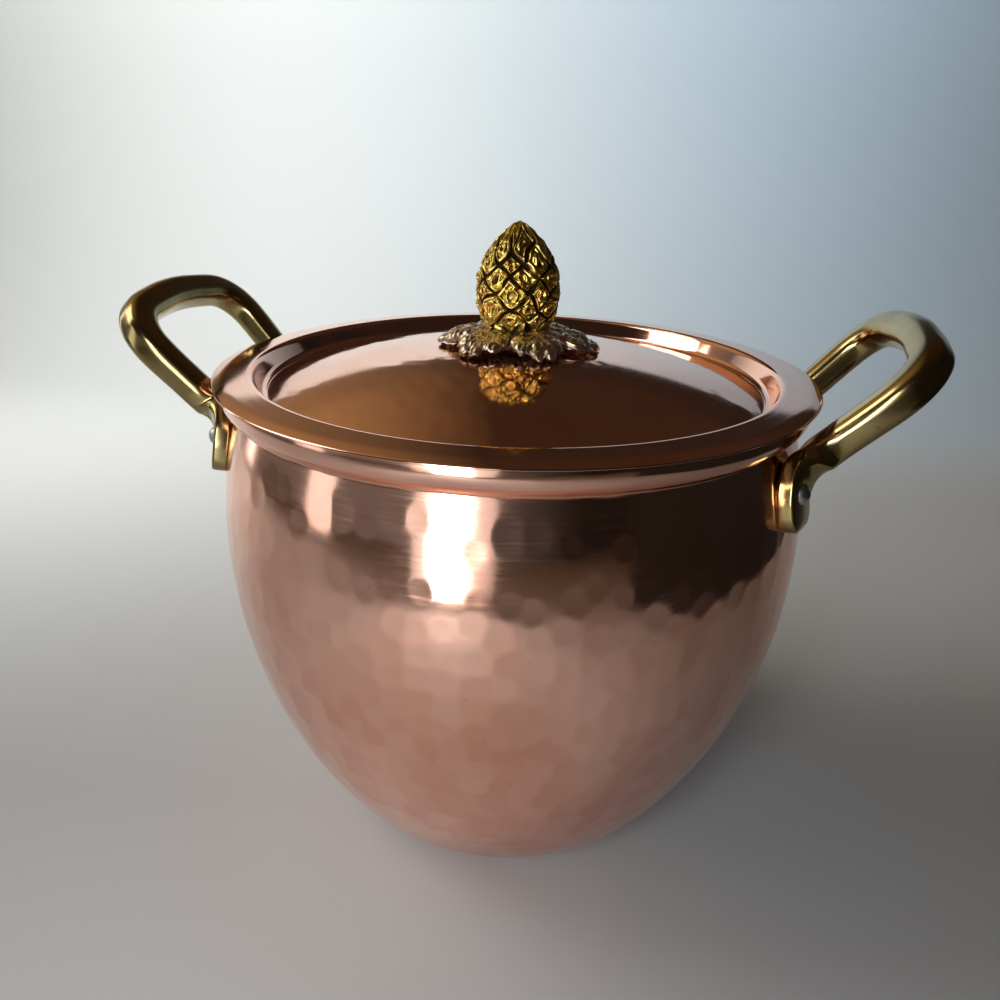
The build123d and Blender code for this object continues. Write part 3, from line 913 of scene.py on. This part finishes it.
def copper_finish(name, strokes, sharp, soft, scratch_depth):
    """Copper with clouds, small dark specks and strokes from rubbing."""
    finish, tree, shader, place = new_finish(name)
    burnish = spread(tree, stored(tree, "blow"), 0, 1, -0.10, 0.10)
    mottle = reckoned(tree, "ADD", grain(tree, place, 14.0, 4.0), burnish)
    colour = blended(tree, spread(tree, mottle, 0.35, 0.72, 0, 1), copper_bright, copper_deep)
    speck_share = spread(tree, grain(tree, place, 260.0, 2.0), 0.74, 0.8, 0, 0.55)
    scratches = grain(tree, strokes(tree, place), 1.0, 4.0, 0.7)
    dull = spread(tree, reckoned(tree, "ADD", mottle, scratches), 0.75, 1.3, sharp, soft)
    paint(tree, shader, blended(tree, speck_share, colour, copper_dark), dull)
    fine = raised(tree, shader, scratches, scratch_depth, 0.5)
    raised(tree, shader, grain(tree, place, 700.0, 2.0), 0.012, 0.25, below=fine)
    return finish


def level_strokes(tree, place):
    """Short strokes that run level round the wall."""
    return stretched(tree, place, (45, 45, 1500))


def ring_strokes(tree, place):
    """Strokes that run round the lid's middle."""
    x, y, _ = add_node(tree, "ShaderNodeSeparateXYZ", {0: place}).outputs
    flat = add_node(tree, "ShaderNodeCombineXYZ", {0: x, 1: y}).outputs[0]
    away = add_node(tree, "ShaderNodeVectorMath", {0: flat}, operation="LENGTH").outputs["Value"]
    slow_x, slow_y, fast = (reckoned(tree, "MULTIPLY", value, scale)
                            for value, scale in ((x, 14.0), (y, 14.0), (away, 1300.0)))
    return add_node(tree, "ShaderNodeCombineXYZ", {0: slow_x, 1: slow_y, 2: fast}).outputs[0]


wear(copper_finish("hammered_copper", level_strokes, 0.10, 0.21, 0.012), pot_wall)
wear(copper_finish("polished_copper", ring_strokes, 0.06, 0.14, 0.005), lid)

# %% [markdown]
# ### Brass of the handles
# Cast brass is yellower than copper and, where hands don't polish it, goes olive brown. The skin of
# the casting has fine pits, darker at their bottom. Clouds of brown follow no edge, so one soft
# noise is enough for them, and a much finer one makes the pits.

# %% Brass for the handles
brass_light, brass_brown, pit_brown = (0.46, 0.36, 0.16, 1), (0.25, 0.185, 0.08, 1), (0.12, 0.07, 0.03, 1)
handle_brass, tree, shader, place = new_finish("cast_brass")
brown_clouds = grain(tree, place, 32.0, 4.0)
pits = grain(tree, place, 420.0, 2.0)
brass = blended(tree, spread(tree, brown_clouds, 0.4, 0.75, 0, 1), brass_light, brass_brown)
pitted = blended(tree, spread(tree, pits, 0.7, 0.78, 0, 0.6), brass, pit_brown)
paint(tree, shader, pitted, spread(tree, brown_clouds, 0.3, 0.75, 0.12, 0.26))
cast_skin = raised(tree, shader, grain(tree, place, 190.0, 3.0), 0.05, 0.35)
raised(tree, shader, pits, 0.02, 0.3, below=cast_skin)
wear(handle_brass, *handles)

# %% [markdown]
# ### Gilt of the cone
# The gilt is painted near black in the grooves, as painted shade. We
# stored how hollow each point is when we made it, and read it back here with an attribute node. Two
# noises shift the border between gold and dark, so that it is uneven.

# %% Gilt for the cone
# The last colour is the near black painted shade of the grooves.
gilt_bright, gilt_deep, painted_groove_shade = (0.78, 0.60, 0.15, 1), (0.46, 0.31, 0.08, 1), (0.05, 0.025, 0.01, 1)
cone_gilt, tree, shader, place = new_finish("gilt_cone")
stain = grain(tree, place, 120.0, 4.0)
smoke = spread(tree, grain(tree, place, 42.0, 3.0), 0.38, 0.64, -0.15, 0.42)
patches = reckoned(tree, "ADD", smoke, spread(tree, stain, 0.3, 0.75, -0.2, 0.25))
# Painted shade in the grooves, shifted by random dark patches.
groove_shade_and_patches = reckoned(tree, "ADD", stored(tree, "hollow"), patches)
gilt = blended(tree, spread(tree, stain, 0.4, 0.65, 0, 1), gilt_bright, gilt_deep)
gilt_with_painted_shade = blended(tree, spread(tree, groove_shade_and_patches, 0.38, 0.85, 0, 1), gilt, painted_groove_shade)
paint(tree, shader, gilt_with_painted_shade, spread(tree, groove_shade_and_patches, 0.3, 0.9, 0.27, 0.6))
raised(tree, shader, grain(tree, place, 650.0, 3.0), 0.05, 0.3)
wear(cone_gilt, cone)

# %% [markdown]
# ### Brass of the leaves, with painted shade and highlight
# The leaves are the same alloy with a silvery brown skin, painted brown in the hollows as shade and
# pale on the ridges as a highlight. The same attribute steers it, with a rougher relief than the cone's.

# %% Brass for the leaves
# Pale is a painted highlight on the raised parts, brown a painted shade in the hollows.
leaf_highlight_pale, leaf_shade_brown = (0.68, 0.57, 0.43, 1), (0.20, 0.12, 0.07, 1)
leaf_brass, tree, shader, place = new_finish("leaf_brass_painted_light")
leaf_clouds = spread(tree, grain(tree, place, 150.0, 4.0), 0.3, 0.7, -0.35, 0.35)
# Painted shade from the relief, shifted by random clouds.
leaf_shade_and_mottle = reckoned(tree, "ADD", stored(tree, "hollow"), leaf_clouds)
leaf_colour = blended(tree, spread(tree, leaf_shade_and_mottle, 0.15, 0.85, 0, 1), leaf_highlight_pale, leaf_shade_brown)
paint(tree, shader, leaf_colour, spread(tree, leaf_shade_and_mottle, 0.1, 0.9, 0.27, 0.55))
raised(tree, shader, grain(tree, place, 600.0, 3.0), 0.08, 0.5)
wear(leaf_brass, collar)

# %% [markdown]
# ### Tin and steel
# The tin is wiped on hot with a cotton pad, which leaves broad pale swirls. Rivets, screw and washer
# are plain steel, a little dull. These pieces keep the shape they came with, so only their finish
# changes. Both finishes follow one pattern each, so a short function makes them.

# %% Tin for the linings, steel for rivets and screw
def two_tone_metal(name, pattern, ends, pale, dark, roughness, depth, strength):
    """Metal with two tones, whose colour, roughness and relief all follow one pattern."""
    finish, tree, shader, place = new_finish(name)
    tones = pattern(tree, place)
    colour = blended(tree, spread(tree, tones, *ends, 0, 1), pale, dark)
    paint(tree, shader, colour, spread(tree, tones, 0.3, 0.7, *roughness))
    raised(tree, shader, tones, depth, strength)
    return finish


def wiped_swirls(tree, place):
    """Broad swirls, as a pad of cotton leaves them."""
    return grain(tree, stretched(tree, place, (25, 25, 60)), 1.0, 5.0, 0.6)


def fine_grain(tree, place):
    """Grain of plain steel."""
    return grain(tree, place, 500.0, 3.0)


tin_pale, tin_grey = (0.66, 0.65, 0.62, 1), (0.50, 0.49, 0.47, 1)
steel_pale, steel_grey = (0.58, 0.60, 0.60, 1), (0.36, 0.37, 0.37, 1)
tin = two_tone_metal("wiped_tin", wiped_swirls, (0.3, 0.7), tin_pale, tin_grey, (0.25, 0.42), 0.15, 0.3)
steel = two_tone_metal("dull_steel", fine_grain, (0.35, 0.7), steel_pale, steel_grey, (0.22, 0.4), 0.04, 0.4)
linings = ("pot_lining", "lid_lining")
rivets = ("left_front_rivet", "left_rear_rivet", "right_front_rivet", "right_rear_rivet")
wear(tin, *(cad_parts[node] for node in linings))
wear(steel, *(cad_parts[node] for node in rivets + ("knob_screw", "knob_washer")))

# %% [markdown]
# ## The camera
# The camera stands in front and a little above, tilted down, with a wide lens close to the pot. That
# is why the rim looks so open and the base so small. A camera in Blender looks along its own minus
# Z, so its matrix is built from three directions: right, up and back.

# %% Place the camera
camera_spot = Vector((64.5, -325.8, 294.1)) * mm
yaw, pitch, roll = math.radians(-12.13), math.radians(23.6), math.radians(1.364)
focal_share = 0.7774
forward = Vector((math.sin(yaw) * math.cos(pitch), math.cos(yaw) * math.cos(pitch), -math.sin(pitch)))
level_right = Vector((math.cos(yaw), -math.sin(yaw), 0))
level_up = level_right.cross(forward)
right = level_right * math.cos(roll) + level_up * math.sin(roll)
up = level_up * math.cos(roll) - level_right * math.sin(roll)
lens = bpy.data.cameras.new("portrait")
lens.sensor_width = 36.0
lens.lens = focal_share * lens.sensor_width
lens.shift_y = 0.001
lens.clip_start = 0.01
camera = placed("portrait", lens)
camera.matrix_world = Matrix([
    [right.x, up.x, -forward.x, camera_spot.x],
    [right.y, up.y, -forward.y, camera_spot.y],
    [right.z, up.z, -forward.z, camera_spot.z],
    [0, 0, 0, 1],
])
bpy.context.scene.camera = camera
print(f"camera {camera_spot.length:.2f} m from the middle of the pot's underside")

# %% [markdown]
# ## A small studio
# Polished metal is a mirror, so the room around it is what paints the copper. A sheet of pale paper
# runs under the pot and curves up behind it, so there is no line where floor meets wall. A plane and
# a wall would leave that line, and the lid would mirror it. The sheet is turned to face the camera.

# %% Paper sweep
def studio_finish(name, colour, roughness):
    """Plain dull finish for paper or felt."""
    finish = bpy.data.materials.new(name)
    finish.use_nodes = True
    shader = finish.node_tree.nodes["Principled BSDF"]
    shader.inputs["Base Color"].default_value = colour
    shader.inputs["Roughness"].default_value = roughness
    return finish


sweep_width, sweep_front, sweep_back, sweep_height, sweep_bend = 4.4, 1.9, 1.15, 0.62, 0.45
bend_steps = 16
camera_turn = math.atan2(camera_spot.y, camera_spot.x)
side_way = Vector((-math.sin(camera_turn), math.cos(camera_turn), 0))
back_way = -Vector((math.cos(camera_turn), math.sin(camera_turn), 0))
bend_start = sweep_back - sweep_bend
sweep_line = [(-sweep_front, 0.0), (bend_start, 0.0)]
for step in range(1, bend_steps + 1):
    angle = step / bend_steps * math.pi / 2
    sweep_line.append((bend_start + sweep_bend * math.sin(angle), sweep_bend * (1 - math.cos(angle))))
sweep_line.append((sweep_back, sweep_height))
sweep_points = []
for away, height in sweep_line:
    for half in (-0.5, 0.5):
        sweep_points.append(back_way * away + side_way * half * sweep_width + Vector((0, 0, height)))
sweep_faces = [(2 * k, 2 * k + 1, 2 * k + 3, 2 * k + 2) for k in range(len(sweep_line) - 1)]
sweep_mesh = bpy.data.meshes.new("paper_sweep")
sweep_mesh.from_pydata([tuple(point) for point in sweep_points], [], sweep_faces)
sweep_mesh.shade_smooth()
sweep = placed("paper_sweep", sweep_mesh)
wear(studio_finish("pale_paper", (0.505, 0.535, 0.56, 1), 0.9), sweep)

# %% [markdown]
# A tall narrow window stands at the front left: it is the bright stripe on the wall and the bead. A
# wider, weaker one round it gives the stripe a soft border, and two more at the side draw the thin
# streaks on the left. A large one high on the left lights the lid. The last two are there for the
# paper: a warm one for its left half, a cool one for its right. Soft square lamps stand for them all.

# %% Lamps
def studio_spot(turn, away, height):
    """Point in the studio, by its turn to the right of the camera, in metres."""
    heading = camera_turn + math.radians(turn)
    return Vector((away * math.cos(heading), away * math.sin(heading), height))


def add_lamp(name, spot, aim, width, tall, power, colour):
    """Soft square lamp at one spot in the studio that looks at another."""
    light = bpy.data.lights.new(name, "AREA")
    light.shape = "RECTANGLE"
    light.size, light.size_y = width, tall
    light.energy = power
    light.color = colour
    lamp = placed(name, light)
    lamp.location = spot
    lamp.rotation_euler = (aim - spot).to_track_quat("-Z", "Y").to_euler()
    lamp.visible_camera = False
    print(f"{name}: {power} W")


pot_middle = Vector((0, 0, 0.15))
left_paper, right_paper = studio_spot(-158, 1.2, 0.45), studio_spot(165, 1.2, 0.62)
daylight, skylight = (1.0, 1.0, 0.99), (1.0, 0.99, 0.97)
warm_light, cool_light = (1.0, 0.96, 0.87), (0.33, 0.70, 1.0)
add_lamp("front_window", studio_spot(-19, 0.52, 0.26), pot_middle, 0.12, 0.44, 1.35, daylight)
add_lamp("window_glow", studio_spot(-18, 0.60, 0.28), pot_middle, 0.29, 0.50, 0.36, daylight)
add_lamp("side_window", studio_spot(-69, 0.95, 0.30), pot_middle, 0.20, 0.5, 0.36, daylight)
add_lamp("far_window", studio_spot(-112, 0.95, 0.30), pot_middle, 0.12, 0.5, 0.4, daylight)
add_lamp("high_window", studio_spot(-94, 0.85, 0.78), pot_middle, 0.5, 0.6, 3.2, skylight)
add_lamp("paper_lamp", studio_spot(-125, 0.55, 0.80), left_paper, 0.5, 0.5, 13.0, warm_light)
add_lamp("cool_lamp", studio_spot(140, 0.60, 0.70), right_paper, 0.3, 0.3, 2.5, cool_light)

# %% [markdown]
# Bright metal needs something dark to mirror, or it looks like plastic. A card of dark felt stands at
# the pot's right, hidden from the camera alone, and gives the wall its deep brown side. A darker
# paper would do that too, but then the floor would be dark as well.

# %% Dark card
card_width, card_height = 0.72, 0.45
card_foot = studio_spot(76, 0.45, 0.0)
card_way = Vector((-card_foot.y, card_foot.x, 0)).normalized()
card_corners = []
for side, rise in ((-1, 0.0), (1, 0.0), (1, card_height), (-1, card_height)):
    card_corners.append(card_foot + card_way * side * card_width / 2 + Vector((0, 0, rise)))
card_mesh = bpy.data.meshes.new("dark_card")
card_mesh.from_pydata([tuple(corner) for corner in card_corners], [], [(0, 1, 2, 3)])
card = placed("dark_card", card_mesh)
card.visible_camera = False
wear(studio_finish("dark_felt", (0.012, 0.010, 0.009, 1), 1.0), card)

# %% [markdown]
# Past the paper lies the room. It is painted straight onto the world, by direction: walls low down,
# pale on the left and nearly black on the right, a beam above them and a ceiling above that, both
# warm on the left. They are what the dome of the lid mirrors. Behind the camera it is darker still.

# %% The dim room
dark_wall, pale_wall = (0.010, 0.009, 0.008, 1), (0.15, 0.145, 0.14, 1)
dark_ceiling, warm_ceiling = (0.044, 0.024, 0.014, 1), (0.46, 0.31, 0.14, 1)
dark_beam, warm_beam = (0.026, 0.017, 0.012, 1), (0.36, 0.25, 0.13, 1)
behind_camera = (0.022, 0.014, 0.011, 1)


def along(tree, look, way):
    """How far a direction points one way, from -1 to 1."""
    return add_node(tree, "ShaderNodeVectorMath", {0: look, 1: way}, operation="DOT_PRODUCT").outputs["Value"]


world = bpy.data.worlds.new("dim_room")
bpy.context.scene.world = world
world.use_nodes = True
tree = world.node_tree
background = tree.nodes["Background"]
look = add_node(tree, "ShaderNodeTexCoord").outputs["Generated"]
rise = add_node(tree, "ShaderNodeSeparateXYZ", {0: look}).outputs[2]
sideways, rearward = along(tree, look, side_way), along(tree, look, back_way)
warm_share = spread(tree, sideways, -0.55, -0.05, 1, 0)
walls = blended(tree, spread(tree, sideways, -0.6, 0.4, 1, 0), dark_wall, pale_wall)
ceiling = blended(tree, warm_share, dark_ceiling, warm_ceiling)
beam = blended(tree, warm_share, dark_beam, warm_beam)
overhead = blended(tree, spread(tree, rise, 0.40, 0.52, 0, 1), beam, ceiling)
overhead = blended(tree, spread(tree, rearward, -0.35, 0.15, 0, 1), behind_camera, overhead)
room_colour = blended(tree, spread(tree, rise, 0.24, 0.34, 0, 1), walls, overhead)
tree.links.new(room_colour, background.inputs["Color"])
background.inputs["Strength"].default_value = 1.0
bpy.context.scene.view_settings.view_transform = "Standard"
print("room:", len(tree.nodes), "nodes")

# %% [markdown]
# ## Last update
# Blender works out where every piece now stands. The dressed pot must not be larger than the
# plain one.

# %% Update the scene
bpy.context.view_layer.update()
